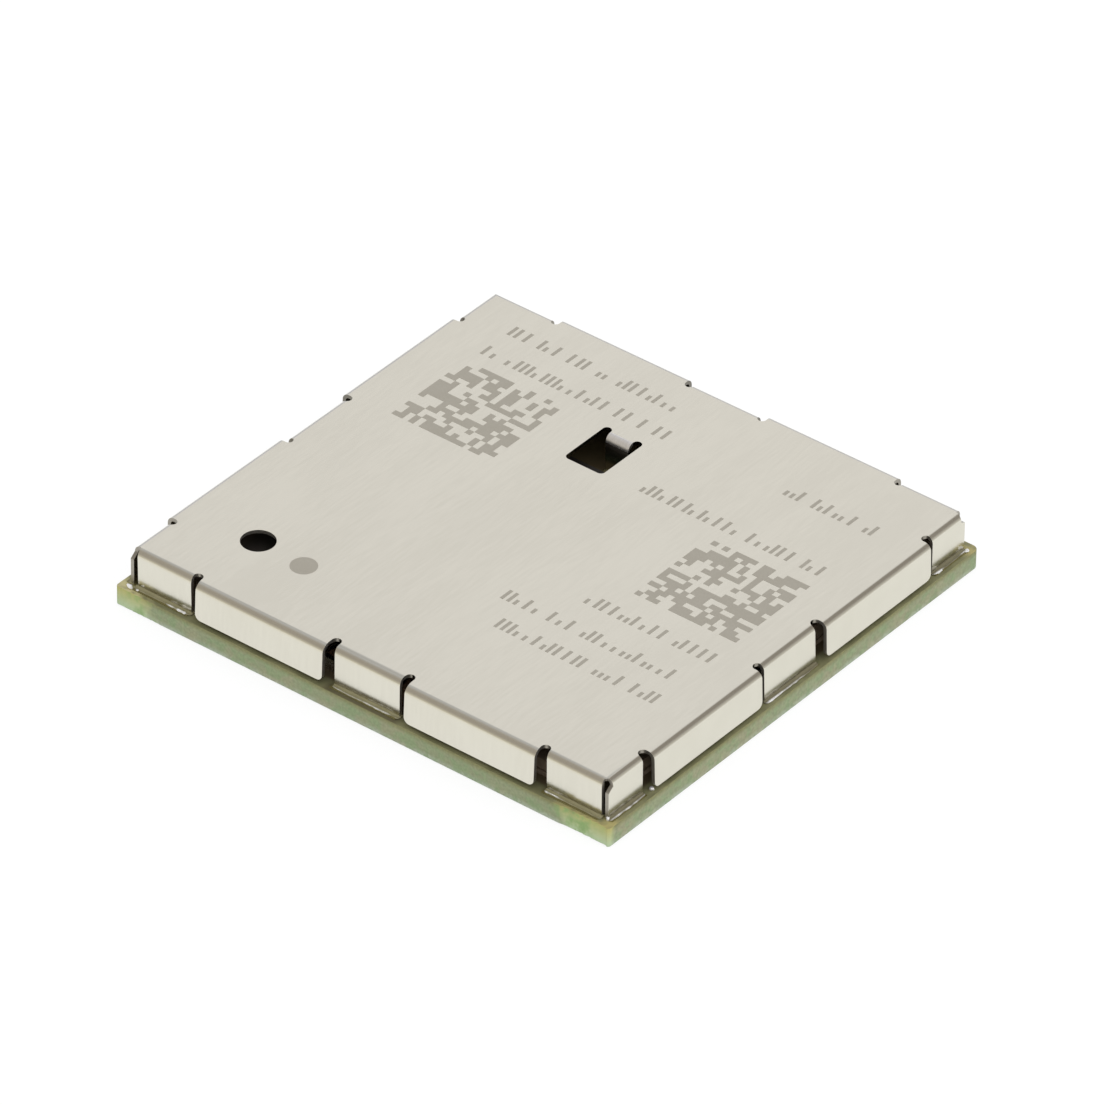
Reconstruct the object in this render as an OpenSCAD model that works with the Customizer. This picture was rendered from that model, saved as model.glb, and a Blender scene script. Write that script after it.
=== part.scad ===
// Surface-mount radio module: a folded shield can soldered over a populated circuit board.
// The board is centred on Z, X runs along its longer edge, and the faces of its lands lie on Z = 0.

/* [Board] */
// Length of the board along X
board_w = 23; // [21.5:0.1:28]
// Depth of the board along Y
board_d = 22; // [20.5:0.1:27]
// Thickness of the laminate
board_t = 0.81; // [0.5:0.01:1]
// Radius of the board's upright corners
board_corner_r = 0.15; // [0.06:0.01:0.6]
// Length of the break-off scar at each end of the front edge
scar_len = 2.1; // [0.5:0.1:5]
// Depth of the break-off scars
scar_depth = 0.05; // [0.02:0.01:0.12]

/* [Lands under the board] */
// Thickness of the lands
land_t = 0.03; // [0.02:0.005:0.08]
// Side of a signal land
signal_land = 0.6; // [0.3:0.05:0.8]
// Spacing of the signal lands and of their rows
signal_pitch = 1.1; // [0.9:0.05:1.6]
// Rows of signal lands along each edge
signal_rows = 2; // [1:1:3]
// Board edge to the centres of the outer row
signal_edge = 0.8; // [0.5:0.05:1.5]
// Side of a ground land
ground_land = 2.6; // [1.5:0.1:3.2]
// Spacing of the ground lands
ground_pitch = 3.6; // [3.3:0.1:5]
// Least clearance between the signal lands and the ground lands
ground_clear = 0.4; // [0.2:0.05:1]

/* [Shield can] */
// Height from the land faces to the top of the lid
total_h = 2.5; // [2.3:0.05:4]
// Thickness of the sheet
sheet_t = 0.15; // [0.08:0.01:0.2]
// Inside radius of the bends
bend_in_r = 0.15; // [0.05:0.01:0.25]
// Board edge to the outer face of the long flaps
can_margin = 0.16; // [0.1:0.01:0.6]
// How far the soldered flaps stand back from the long flaps
flap_inset = 0.22; // [0.16:0.01:0.4]
// Width of the slits between flaps
slit_w = 0.36; // [0.2:0.01:0.6]
// How far the slits reach into the lid
slit_reach = 0.1; // [0.02:0.01:0.3]
// How far the slits beside the front's centre flap reach into the lid
front_slit_reach = 0.3; // [0.02:0.01:0.5]
// Width of the soldered flap in the middle of each side
centre_flap_w = 3.06; // [1.5:0.02:5]
// Width of the corner flaps on the front and back
front_corner_w = 2.56; // [1.5:0.02:4]
// Width of the corner flaps on the left and right
side_corner_w = 1.76; // [1:0.02:4]
// Gap between the foot of a long flap and the board
foot_gap = 0.1; // [0.05:0.01:0.3]
// Radius of the lower corners of the long flaps
foot_corner_r = 0.25; // [0.1:0.01:0.4]
// How far the side corner flaps end short of the front and back faces
corner_relief = 0.06; // [0.02:0.01:0.15]

/* [Lid openings] */
// Diameter of the round hole
hole_d = 1.35; // [0.6:0.05:2]
// Left side of the lid to the hole's centre
hole_from_left = 3.05; // [1.5:0.05:6]
// Front of the lid to the hole's centre
hole_from_front = 2.96; // [1.5:0.05:6]
// Width of the window
window_w = 1.7; // [1.3:0.02:3]
// Length of the window along Y
window_len = 2.53; // [2:0.02:4]
// Window's middle to the left of the lid's middle
window_left = 1.55; // [1.3:0.05:2]
// Lid's middle to the back end of the window
window_back = 6.45; // [5.5:0.05:7]
// Radius of the window's front corners
window_corner_r = 0.2; // [0.05:0.01:0.4]
// Width of the finger that is bent down from the window's back end
finger_w = 1.06; // [0.6:0.02:1.1]
// Length of flat lid between the ends of the finger's side slots and its bend
finger_root = 0.2; // [0.16:0.01:0.5]

/* [Solder and pads] */
// Thickness of the pads on top of the board
pad_t = 0.03; // [0.02:0.005:0.06]
// How far a pad shows inside its flap
pad_inside = 0.1; // [0.04:0.01:0.14]
// How far a pad shows past the toe of its fillet
pad_outside = 0.03; // [0.01:0.005:0.04]
// Solder between a pad and the foot of its flap
solder_gap = 0.03; // [0.02:0.005:0.06]
// Width of the solder fillet on the board
fillet_w = 0.17; // [0.08:0.01:0.34]
// Height of the solder fillet above its pad
fillet_h = 0.14; // [0.08:0.01:0.45]

/* [Part layout] */
// Clearance between the pads of the can and the parts inside
wall_clear = 0.37; // [0.2:0.01:0.6]
// Gap between neighbouring parts
part_gap = 0.4; // [0.25:0.01:0.5]

/* [Large chips] */
// Width of the baseband processor
processor_w = 7.6; // [6:0.1:8.4]
// Depth of the baseband processor
processor_d = 7.6; // [6:0.1:8.4]
// Height of the baseband processor
processor_h = 0.9; // [0.6:0.05:1.1]
// Width of the memory package
memory_w = 6.2; // [5:0.1:6.8]
// Depth of the memory package
memory_d = 8; // [6:0.1:9]
// Height of the memory package
memory_h = 0.95; // [0.6:0.05:1.1]
// Side of the power management chip
power_chip_w = 5.4; // [4:0.1:6]
// Height of the power management chip
power_chip_h = 0.65; // [0.5:0.05:1.1]
// Side of the radio transceiver
transceiver_w = 3.4; // [3:0.1:4]
// Height of the radio transceiver
transceiver_h = 0.6; // [0.5:0.05:1.1]
// Thickness of the substrate under a moulded package
substrate_t = 0.2; // [0.1:0.01:0.35]
// How far the moulding stands in from the substrate's edge
mould_inset = 0.08; // [0.03:0.01:0.2]
// Diameter of the index dimple in the moulding
dimple_d = 0.5; // [0.2:0.05:0.8]
// Depth of the index dimple
dimple_depth = 0.05; // [0.02:0.01:0.1]

/* [Radio front end] */
// Width of a power amplifier
amplifier_w = 3; // [2:0.1:3.6]
// Depth of a power amplifier
amplifier_d = 3.8; // [3:0.1:4.4]
// Height of a power amplifier
amplifier_h = 0.85; // [0.6:0.05:1.1]
// Side of the antenna switch
switch_w = 2.6; // [2:0.1:3]
// Height of the antenna switch
switch_h = 0.7; // [0.5:0.05:1.1]
// Side of the diversity switch
diversity_w = 1.8; // [1.2:0.1:2.2]
// Side of the positioning amplifier
positioning_w = 1.1; // [0.8:0.05:1.5]
// Height of the diversity switch and the positioning amplifier
small_chip_h = 0.5; // [0.4:0.05:1]
// Number of duplexers
duplexer_count = 4; // [1:1:4]
// Width of a duplexer
duplexer_w = 1.8; // [1.2:0.1:2.4]
// Depth of a duplexer
duplexer_d = 1.4; // [1:0.05:1.5]
// Height of a duplexer
duplexer_h = 0.6; // [0.45:0.05:1]
// Number of receive filters
filter_count = 5; // [1:1:5]
// Width of a receive filter
filter_w = 1.4; // [1:0.05:1.7]
// Depth of a receive filter
filter_d = 1.1; // [0.8:0.05:1.2]
// Height of a receive filter
filter_h = 0.5; // [0.45:0.05:1]
// Thickness of the metal lid on a ceramic can
can_lid_t = 0.08; // [0.04:0.01:0.15]
// How far that lid stands in from the ceramic's edge
can_lid_inset = 0.1; // [0.04:0.01:0.2]

/* [Crystals and passives] */
// Length of the reference oscillator
oscillator_l = 2; // [1.6:0.1:2.4]
// Width of the reference oscillator
oscillator_w = 1.6; // [1.2:0.1:1.8]
// Height of the reference oscillator
oscillator_h = 0.8; // [0.5:0.05:1.1]
// Length of the sleep clock crystal
sleep_l = 1.6; // [1.2:0.1:2]
// Width of the sleep clock crystal
sleep_w = 1; // [0.8:0.1:1.2]
// Height of the sleep clock crystal
sleep_h = 0.5; // [0.4:0.05:1]
// Number of buck converter inductors
buck_count = 3; // [1:1:3]
// Length of a buck inductor
buck_l = 2; // [1.6:0.1:2.4]
// Width of a buck inductor
buck_w = 1.6; // [1.2:0.1:1.7]
// Height of a buck inductor
buck_h = 1; // [0.6:0.05:1.1]
// Number of bulk capacitors
bulk_count = 5; // [1:1:5]
// Length of a bulk capacitor
bulk_l = 1.6; // [1.2:0.1:1.8]
// Width of a bulk capacitor
bulk_w = 0.8; // [0.6:0.05:0.9]
// Length of a decoupling capacitor
decoupling_l = 1; // [0.6:0.05:1.2]
// Width of a decoupling capacitor
decoupling_w = 0.5; // [0.3:0.05:0.6]
// Number of matching inductors
matching_count = 4; // [1:1:4]
// Number of chip resistors
resistor_count = 6; // [1:1:6]
// Length of a small passive, such as a matching inductor or resistor
small_l = 0.6; // [0.4:0.05:0.7]
// Width of a small passive
small_w = 0.3; // [0.2:0.02:0.4]
// Height of a chip resistor
resistor_h = 0.23; // [0.15:0.01:0.4]
// Length of the metal cap at each end of a buck inductor
buck_cap = 0.45; // [0.2:0.01:0.7]
// Length of the metal cap at each end of a bulk capacitor
bulk_cap = 0.35; // [0.15:0.01:0.5]
// Length of the metal cap at each end of a decoupling capacitor
decoupling_cap = 0.22; // [0.1:0.01:0.28]
// Length of the metal cap at each end of a small passive
small_cap = 0.13; // [0.06:0.01:0.18]
// How far a metal cap stands proud of the body it covers
cap_proud = 0.02; // [0.01:0.005:0.04]

/* [Hidden] */
$fn = 48;
// How far cutters run past a face, and how far joined shapes run into each other
past = 1;
join = 0.02;

// Levels
board_top = land_t + board_t;
pad_top = board_top + pad_t;
soldered_foot_z = pad_top + solder_gap;
long_foot_z = board_top + foot_gap;

// Faces of the can, and the edges of its flat lid
bend_r = bend_in_r + sheet_t;
x_long = board_w / 2 - can_margin;
y_long = board_d / 2 - can_margin;
x_short = x_long - flap_inset;
y_short = y_long - flap_inset;
lid_x = x_short - bend_r;
lid_y = y_short - bend_r;
long_from = centre_flap_w / 2 + slit_w;
side_flap_end = y_short - corner_relief;

// Lid openings
hole_at = [hole_from_left - lid_x, hole_from_front - lid_y];
finger_slot_w = (window_w - finger_w) / 2;
finger_bend_y = window_back - finger_root;
finger_face_u = bend_r - finger_bend_y;

// A fillet stays on its board: the toe and the pad beyond it end at the board's edge
fillet_reach = min(fillet_w, can_margin + flap_inset - pad_outside);
fillet_chord = norm([fillet_reach, fillet_h]);
fillet_r = 2 * fillet_chord;
fillet_out = sqrt(fillet_r * fillet_r - fillet_chord * fillet_chord / 4) / fillet_chord;

finger_pad_front = -finger_face_u - fillet_reach - pad_outside;

// Room inside the can for the parts on the board
room_x = x_short - sheet_t - pad_inside - wall_clear;
room_y = y_short - sheet_t - pad_inside - wall_clear;

// Near left corner of each part. The chains start at the four corners of the room,
// and the transceiver sits in front of the finger's pad, under the window.
processor_at = [-room_x, -room_y];
memory_at = [-room_x, room_y - memory_d];
power_chip_at = [room_x - power_chip_w, -room_y];
oscillator_at = [room_x - oscillator_l, power_chip_at.y + power_chip_w + part_gap];
sleep_at = [oscillator_at.x - part_gap - sleep_l, oscillator_at.y];
buck_at = [power_chip_at.x - part_gap - buck_l, -room_y];
bulk_at = [buck_at.x - part_gap - bulk_l, -room_y];
high_band_at = [room_x - amplifier_w, room_y - amplifier_d];
low_band_at = [high_band_at.x, high_band_at.y - part_gap - amplifier_d];
switch_at = [high_band_at.x - part_gap - switch_w, room_y - switch_w];
duplexers_at = [high_band_at.x - part_gap - duplexer_w, switch_at.y - part_gap - duplexer_d];
filters_right = min(switch_at.x, duplexers_at.x) - part_gap;
filters_at = [filters_right - filter_w, room_y - filter_d];
positioning_at = [filters_at.x - part_gap - positioning_w, room_y - positioning_w];
diversity_at = [filters_at.x - part_gap - diversity_w, positioning_at.y - part_gap - diversity_w];
filters_front = filters_at.y - (filter_count - 1) * (filter_d + part_gap);
matching_at = [filters_at.x - part_gap - small_l, filters_front];
resistors_at = [-room_x, memory_at.y - part_gap - small_w];
transceiver_at = [-window_left - transceiver_w / 2, finger_pad_front - part_gap - transceiver_w];

metal = [0.82, 0.81, 0.76];
laminate = [0.52, 0.6, 0.4];
tin = [0.7, 0.69, 0.64];
gold = [0.84, 0.69, 0.34];
mould = [0.14, 0.14, 0.15];
ceramic = [0.75, 0.7, 0.6];
ferrite = [0.3, 0.3, 0.32];

// Shapes that repeat

// Places a shape drawn for the right side on the right and left, or on the back and front
module on_right_and_left() for (turn = [0, 180]) rotate(turn) children();
module on_back_and_front() for (turn = [90, 270]) rotate(turn) children();

// Sweeps a section, drawn in X and Z, along Y
module along_y(from, to) translate([0, to, 0]) rotate([90, 0, 0]) linear_extrude(to - from) children();

// What is left of a square corner outside its rounding
module corner_waste(r) {
    difference() {
        translate([-past, -past]) square(r + past);
        translate([r, r]) circle(r);
    }
}

// Board

module board_outline() {
    difference() {
        square([board_w, board_d], center = true);
        for (mx = [0, 1], my = [0, 1])
            mirror([mx, 0]) mirror([0, my])
                translate([-board_w / 2, -board_d / 2]) corner_waste(board_corner_r);
        for (mx = [0, 1])
            mirror([mx, 0])
                translate([-board_w / 2 - past, -board_d / 2 - past])
                    square([scar_len + past, scar_depth + past]);
    }
}

module board() {
    color(laminate) translate([0, 0, land_t]) linear_extrude(board_t) board_outline();
}

// Lands under the board

module land(side) translate([-side / 2, -side / 2, 0]) cube([side, side, land_t]);

// A centred row of lands along X, as many as fit in the length
module land_row(side, pitch, length) {
    count = floor((length - side) / pitch) + 1;
    for (i = [0 : count - 1]) translate([(i - (count - 1) / 2) * pitch, 0, 0]) land(side);
}

module signal_lands() {
    row_length = board_w - 2 * signal_edge + signal_land;
    column_length = board_d - 2 * signal_edge - 2 * signal_rows * signal_pitch + signal_land;
    color(gold)
        for (turn = [0, 180], row = [0 : signal_rows - 1])
            rotate(turn) {
                translate([0, board_d / 2 - signal_edge - row * signal_pitch, 0])
                    land_row(signal_land, signal_pitch, row_length);
                translate([board_w / 2 - signal_edge - row * signal_pitch, 0, 0])
                    rotate(90) land_row(signal_land, signal_pitch, column_length);
            }
}

module ground_lands() {
    rim = signal_edge + (signal_rows - 1) * signal_pitch + signal_land / 2 + ground_clear;
    row_length = board_w - 2 * rim;
    rows = floor((board_d - 2 * rim - ground_land) / ground_pitch) + 1;
    color(gold)
        for (row = [0 : rows - 1])
            translate([0, (row - (rows - 1) / 2) * ground_pitch, 0])
                land_row(ground_land, ground_pitch, row_length);
}

// Shield can: one sheet, folded

// Everything inside a rounded edge, with the faces at face_u and top_v
module inside_edge(face_u, top_v, r, from_u, from_v) {
    translate([from_u, from_v]) square([face_u - r - from_u, top_v - from_v]);
    translate([from_u, from_v]) square([face_u - from_u, top_v - r - from_v]);
    translate([face_u - r, top_v - r]) circle(r);
}

// Section of a flap: a strip of the lid from from_u, the bend, and the leg down to foot_z
module flap_section(face_u, from_u, foot_z) {
    difference() {
        inside_edge(face_u, total_h, bend_r, from_u, foot_z);
        inside_edge(face_u - sheet_t, total_h - sheet_t, bend_in_r, from_u - past, foot_z - past);
    }
}

module soldered_flap(face_u, lid_edge, from, to) {
    along_y(from, to) flap_section(face_u, lid_edge - join, soldered_foot_z);
}

module long_flap(face_u, lid_edge, from, to) {
    difference() {
        along_y(from, to) flap_section(face_u, lid_edge - join, long_foot_z);
        for (end = [[from, 0], [to, 1]])
            translate([face_u - sheet_t - past, end[0], long_foot_z])
                mirror([0, end[1], 0]) rotate([90, 0, 90]) linear_extrude(sheet_t + 2 * past)
                    corner_waste(foot_corner_r);
    }
}

// The five flaps of one side, drawn on the right. Below the bend the corner flaps run on to corner_end.
module side_of_can(face_long, face_short, lid_edge, half_span, corner_w, corner_end) {
    corner_from = half_span - corner_w;
    soldered_flap(face_short, lid_edge, -centre_flap_w / 2, centre_flap_w / 2);
    for (end = [0, 1])
        mirror([0, end, 0]) {
            long_flap(face_long, lid_edge, long_from, corner_from - slit_w);
            soldered_flap(face_short, lid_edge, corner_from, half_span);
            translate([face_short - sheet_t, corner_from, soldered_foot_z])
                cube([sheet_t, corner_end - corner_from, total_h - bend_r - soldered_foot_z]);
        }
}

// Round-ended cuts in the lid at the four slits of one side, drawn on the right
module slit_ends(lid_edge, half_span, corner_w, centre_reach) {
    for (end = [0, 1],
         cut = [[long_from - slit_w, centre_reach], [half_span - corner_w - slit_w, slit_reach]])
        mirror([0, end, 0])
            translate([lid_edge - cut[1] + slit_w / 2, cut[0] + slit_w / 2, total_h - sheet_t - past]) {
                cylinder(d = slit_w, h = sheet_t + 2 * past);
                translate([0, -slit_w / 2, 0]) cube([past, slit_w, sheet_t + 2 * past]);
            }
}

// The window with the finger's root left standing at its back end
module window_outline() {
    front_y = window_back - window_len;
    slot_y = window_back - finger_slot_w / 2;
    difference() {
        union() {
            translate([-window_w / 2, front_y]) square([window_w, slot_y - front_y]);
            for (side = [-1, 1])
                translate([side * (window_w - finger_slot_w) / 2, slot_y]) circle(d = finger_slot_w);
        }
        translate([-finger_w / 2, finger_bend_y]) square([finger_w, window_back]);
        for (side = [0, 1])
            mirror([side, 0]) translate([-window_w / 2, front_y]) corner_waste(window_corner_r);
    }
}

module lid() {
    difference() {
        translate([-lid_x, -lid_y, total_h - sheet_t]) cube([2 * lid_x, 2 * lid_y, sheet_t]);
        on_right_and_left() slit_ends(lid_x, lid_y, side_corner_w, slit_reach);
        rotate(90) slit_ends(lid_y, lid_x, front_corner_w, slit_reach);
        rotate(270) slit_ends(lid_y, lid_x, front_corner_w, front_slit_reach);
        translate([hole_at.x, hole_at.y, total_h - sheet_t - past])
            cylinder(d = hole_d, h = sheet_t + 2 * past);
        translate([-window_left, 0, total_h - sheet_t - past])
            linear_extrude(sheet_t + 2 * past) window_outline();
    }
}

module finger() {
    translate([-window_left, 0, 0]) rotate(-90)
        along_y(-finger_w / 2, finger_w / 2)
            flap_section(finger_face_u, -finger_bend_y - join, soldered_foot_z);
}

module shield_can() {
    color(metal) {
        lid();
        on_right_and_left() side_of_can(x_long, x_short, lid_x, lid_y, side_corner_w, side_flap_end);
        on_back_and_front() side_of_can(y_long, y_short, lid_y, lid_x, front_corner_w, lid_x);
        finger();
    }
}

// Solder and the pads under it

// Where one side's soldered flaps stand: the corner flap, the centre flap, the other corner flap
function soldered_spans(half_span, corner_w, corner_end) = [
    [corner_w - half_span, -corner_end],
    [centre_flap_w / 2, -centre_flap_w / 2],
    [corner_end, half_span - corner_w]
];

// Section of a joint: the layer under the foot, and a hollow fillet up the outer face
module joint_section(face_u) {
    translate([face_u - sheet_t, pad_top]) square([sheet_t, solder_gap]);
    translate([face_u, pad_top])
        difference() {
            polygon([[0, 0], [fillet_reach, 0], [0, fillet_h]]);
            translate([fillet_reach / 2 + fillet_h * fillet_out, fillet_h / 2 + fillet_reach * fillet_out])
                circle(fillet_r);
        }
}

module joints(face_u, spans) {
    for (span = spans) along_y(span[1], span[0]) joint_section(face_u);
}

module pads(face_u, spans) {
    for (span = spans)
        translate([face_u - sheet_t - pad_inside, span[1], board_top])
            cube([pad_inside + sheet_t + fillet_reach + pad_outside, span[0] - span[1], pad_t]);
}

side_spans = soldered_spans(lid_y, side_corner_w, side_flap_end);
front_spans = soldered_spans(lid_x, front_corner_w, lid_x);
finger_spans = [[finger_w / 2, -finger_w / 2]];

module shield_solder() {
    color(tin) {
        on_right_and_left() joints(x_short, side_spans);
        on_back_and_front() joints(y_short, front_spans);
        translate([-window_left, 0, 0]) rotate(-90) joints(finger_face_u, finger_spans);
    }
}

module shield_pads() {
    color(gold) {
        on_right_and_left() pads(x_short, side_spans);
        on_back_and_front() pads(y_short, front_spans);
        translate([-window_left, 0, 0]) rotate(-90) pads(finger_face_u, finger_spans);
    }
}

// Parts on the board

// Puts a part on the board with its near left corner at a place
module on_board(at) translate([at.x, at.y, board_top]) children();

// A moulded package: substrate, moulding and index dimple
module package(w, d, h) {
    cube([w, d, substrate_t]);
    difference() {
        translate([mould_inset, mould_inset, substrate_t - join])
            cube([w - 2 * mould_inset, d - 2 * mould_inset, h - substrate_t + join]);
        translate([mould_inset + dimple_d, mould_inset + dimple_d, h - dimple_depth])
            cylinder(d = dimple_d, h = past);
    }
}

// A ceramic box closed by a metal lid
module lidded_ceramic(w, d, h) {
    cube([w, d, h - can_lid_t]);
    translate([can_lid_inset, can_lid_inset, h - can_lid_t - join])
        cube([w - 2 * can_lid_inset, d - 2 * can_lid_inset, can_lid_t + join]);
}

// A passive with metal caps on its two ends, lying along X
module passive(l, w, h, cap) {
    translate([0, cap_proud, cap_proud]) cube([l, w - 2 * cap_proud, h - 2 * cap_proud]);
    for (x = [0, l - cap]) translate([x, 0, 0]) cube([cap, w, h]);
}

module baseband_processor()
    color(mould) on_board(processor_at) package(processor_w, processor_d, processor_h);

module memory_package() color(mould) on_board(memory_at) package(memory_w, memory_d, memory_h);

module power_management_chip()
    color(mould) on_board(power_chip_at) package(power_chip_w, power_chip_w, power_chip_h);

module rf_transceiver()
    color(mould) on_board(transceiver_at) package(transceiver_w, transceiver_w, transceiver_h);

module high_band_amplifier()
    color(mould) on_board(high_band_at) package(amplifier_w, amplifier_d, amplifier_h);

module low_band_amplifier()
    color(mould) on_board(low_band_at) package(amplifier_w, amplifier_d, amplifier_h);

module antenna_switch() color(mould) on_board(switch_at) package(switch_w, switch_w, switch_h);

module diversity_switch()
    color(mould) on_board(diversity_at) package(diversity_w, diversity_w, small_chip_h);

module positioning_amplifier()
    color(mould) on_board(positioning_at) package(positioning_w, positioning_w, small_chip_h);

module duplexers() {
    color(ceramic)
        for (i = [0 : duplexer_count - 1])
            on_board([duplexers_at.x, duplexers_at.y - i * (duplexer_d + part_gap)])
                lidded_ceramic(duplexer_w, duplexer_d, duplexer_h);
}

module receive_filters() {
    color(ceramic)
        for (i = [0 : filter_count - 1])
            on_board([filters_at.x, filters_at.y - i * (filter_d + part_gap)])
                lidded_ceramic(filter_w, filter_d, filter_h);
}

module reference_oscillator()
    color(ceramic) on_board(oscillator_at) lidded_ceramic(oscillator_l, oscillator_w, oscillator_h);

module sleep_crystal() color(ceramic) on_board(sleep_at) lidded_ceramic(sleep_l, sleep_w, sleep_h);

module buck_inductors() {
    color(ferrite)
        for (i = [0 : buck_count - 1])
            on_board([buck_at.x, buck_at.y + i * (buck_w + part_gap)])
                passive(buck_l, buck_w, buck_h, buck_cap);
}

module bulk_capacitors() {
    color(ceramic)
        for (i = [0 : bulk_count - 1])
            on_board([bulk_at.x, bulk_at.y + i * (bulk_w + part_gap)])
                passive(bulk_l, bulk_w, bulk_w, bulk_cap);
}

module decoupling_capacitor() passive(decoupling_l, decoupling_w, decoupling_w, decoupling_cap);

// A row along the back of the processor and a column along its right side
module decoupling_capacitors() {
    step = decoupling_l + part_gap;
    row_y = processor_at.y + processor_d + part_gap;
    column_x = processor_at.x + processor_w + part_gap;
    color(ceramic) {
        for (i = [0 : floor((processor_w - decoupling_l) / step)])
            on_board([processor_at.x + i * step, row_y]) decoupling_capacitor();
        for (i = [0 : floor((processor_d - decoupling_l) / step)])
            on_board([column_x + decoupling_w, processor_at.y + i * step])
                rotate(90) decoupling_capacitor();
    }
}

module matching_inductors() {
    color(ferrite)
        for (i = [0 : matching_count - 1])
            on_board([matching_at.x, matching_at.y + i * (small_w + part_gap)])
                passive(small_l, small_w, small_w, small_cap);
}

module chip_resistors() {
    color(mould)
        for (i = [0 : resistor_count - 1])
            on_board([resistors_at.x + i * (small_l + part_gap), resistors_at.y])
                passive(small_l, small_w, resistor_h, small_cap);
}

board();
shield_can();
shield_solder();
shield_pads();
signal_lands();
ground_lands();
baseband_processor();
memory_package();
power_management_chip();
rf_transceiver();
high_band_amplifier();
low_band_amplifier();
antenna_switch();
diversity_switch();
positioning_amplifier();
duplexers();
receive_filters();
reference_oscillator();
sleep_crystal();
buck_inductors();
bulk_capacitors();
decoupling_capacitors();
matching_inductors();
chip_resistors();
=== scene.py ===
import math
import random
from functools import partial

import bmesh
import bpy
from mathutils import Matrix, Vector, noise


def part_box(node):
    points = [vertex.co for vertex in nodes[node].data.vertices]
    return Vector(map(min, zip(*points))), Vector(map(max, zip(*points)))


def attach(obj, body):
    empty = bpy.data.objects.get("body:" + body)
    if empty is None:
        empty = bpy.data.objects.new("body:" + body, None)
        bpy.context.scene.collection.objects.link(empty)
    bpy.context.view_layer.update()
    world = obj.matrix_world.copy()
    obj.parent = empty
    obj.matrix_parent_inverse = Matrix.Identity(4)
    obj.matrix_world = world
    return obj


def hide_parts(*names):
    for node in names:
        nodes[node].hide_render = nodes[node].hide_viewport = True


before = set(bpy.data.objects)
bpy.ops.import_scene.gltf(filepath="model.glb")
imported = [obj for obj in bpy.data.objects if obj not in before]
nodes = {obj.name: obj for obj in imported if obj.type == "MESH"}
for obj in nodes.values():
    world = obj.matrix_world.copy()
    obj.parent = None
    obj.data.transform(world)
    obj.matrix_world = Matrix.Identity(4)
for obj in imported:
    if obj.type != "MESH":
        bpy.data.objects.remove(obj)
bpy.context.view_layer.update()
scene = bpy.context.scene
mm = 0.001

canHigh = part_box("shield_can")[1]
boardLow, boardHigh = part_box("board")
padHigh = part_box("shield_pads")[1]


# Helpers for shader trees
def addNode(tree, kind, inputs=None, **settings):
    node = tree.nodes.new(kind)
    for name, value in settings.items():
        setattr(node, name, value)
    for name, value in (inputs or {}).items():
        wire(tree, value, node.inputs[name])
    return node


def wire(tree, value, socket):
    if isinstance(value, bpy.types.NodeSocket):
        tree.links.new(value, socket)
    else:
        socket.default_value = value


def mixColor(tree, factor, first, second, blend="MIX"):
    inputs = {0: factor, 6: first, 7: second}
    return addNode(tree, "ShaderNodeMix", inputs, data_type="RGBA", blend_type=blend).outputs[2]


def mixValue(tree, factor, first, second):
    inputs = {0: factor, 2: first, 3: second}
    return addNode(tree, "ShaderNodeMix", inputs, data_type="FLOAT").outputs[0]


def math2(tree, operation, first, second=0.0):
    return addNode(tree, "ShaderNodeMath", {0: first, 1: second}, operation=operation).outputs[0]


def product(tree, first, second):
    return math2(tree, "MULTIPLY", first, second)


def ramp(tree, value, low, high, toLow=0.0, toHigh=1.0, smooth=True):
    limits = {"Value": value, "From Min": low, "From Max": high, "To Min": toLow, "To Max": toHigh}
    kind = "SMOOTHSTEP" if smooth else "LINEAR"
    return addNode(tree, "ShaderNodeMapRange", limits, interpolation_type=kind).outputs["Result"]


def splitAxes(tree, vector):
    return addNode(tree, "ShaderNodeSeparateXYZ", {"Vector": vector}).outputs


def noiseTone(tree, vector, scale, detail):
    inputs = {"Vector": vector, "Scale": scale, "Detail": detail}
    return addNode(tree, "ShaderNodeTexNoise", inputs).outputs["Fac"]


def mixShaders(tree, factor, first, second):
    return addNode(tree, "ShaderNodeMixShader", {0: factor, 1: first, 2: second}).outputs[0]


def srgb(red, green, blue):
    def toLinear(c):
        c = c / 255
        return c / 12.92 if c <= 0.04045 else ((c + 0.055) / 1.055) ** 2.4
    return (toLinear(red), toLinear(green), toLinear(blue), 1.0)


# Camera, fitted to the edges of the board and the can
view = {
    "azimuth": 38.01,
    "elevation": 36.275,
    "roll": 0.918,
    "distance": 415.485 * mm,
    "lens": 368.7,  # in millimetres, as the sensor is
    "sensor": 36,
    "aside": 0.145 * mm,
    "above": 1.189 * mm,
}


def placeCamera():
    azimuth, elevation, roll = (math.radians(view[k]) for k in ("azimuth", "elevation", "roll"))
    back = Vector((math.sin(azimuth) * math.cos(elevation),
                   -math.cos(azimuth) * math.cos(elevation),
                   math.sin(elevation)))
    level = Vector((math.cos(azimuth), math.sin(azimuth), 0))
    upright = back.cross(level)
    right = level * math.cos(roll) + upright * math.sin(roll)
    up = upright * math.cos(roll) - level * math.sin(roll)
    data = bpy.data.cameras.new("photo_camera")
    data.sensor_fit = "HORIZONTAL"
    data.sensor_width = view["sensor"]
    data.lens = view["lens"]
    data.clip_start = 0.01
    camera = bpy.data.objects.new("photo_camera", data)
    placed = Matrix((right, up, back)).transposed().to_4x4()
    placed.translation = right * view["aside"] + up * view["above"] + back * view["distance"]
    camera.matrix_world = placed
    scene.collection.objects.link(camera)
    scene.camera = camera


placeCamera()
print("camera placed")


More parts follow.
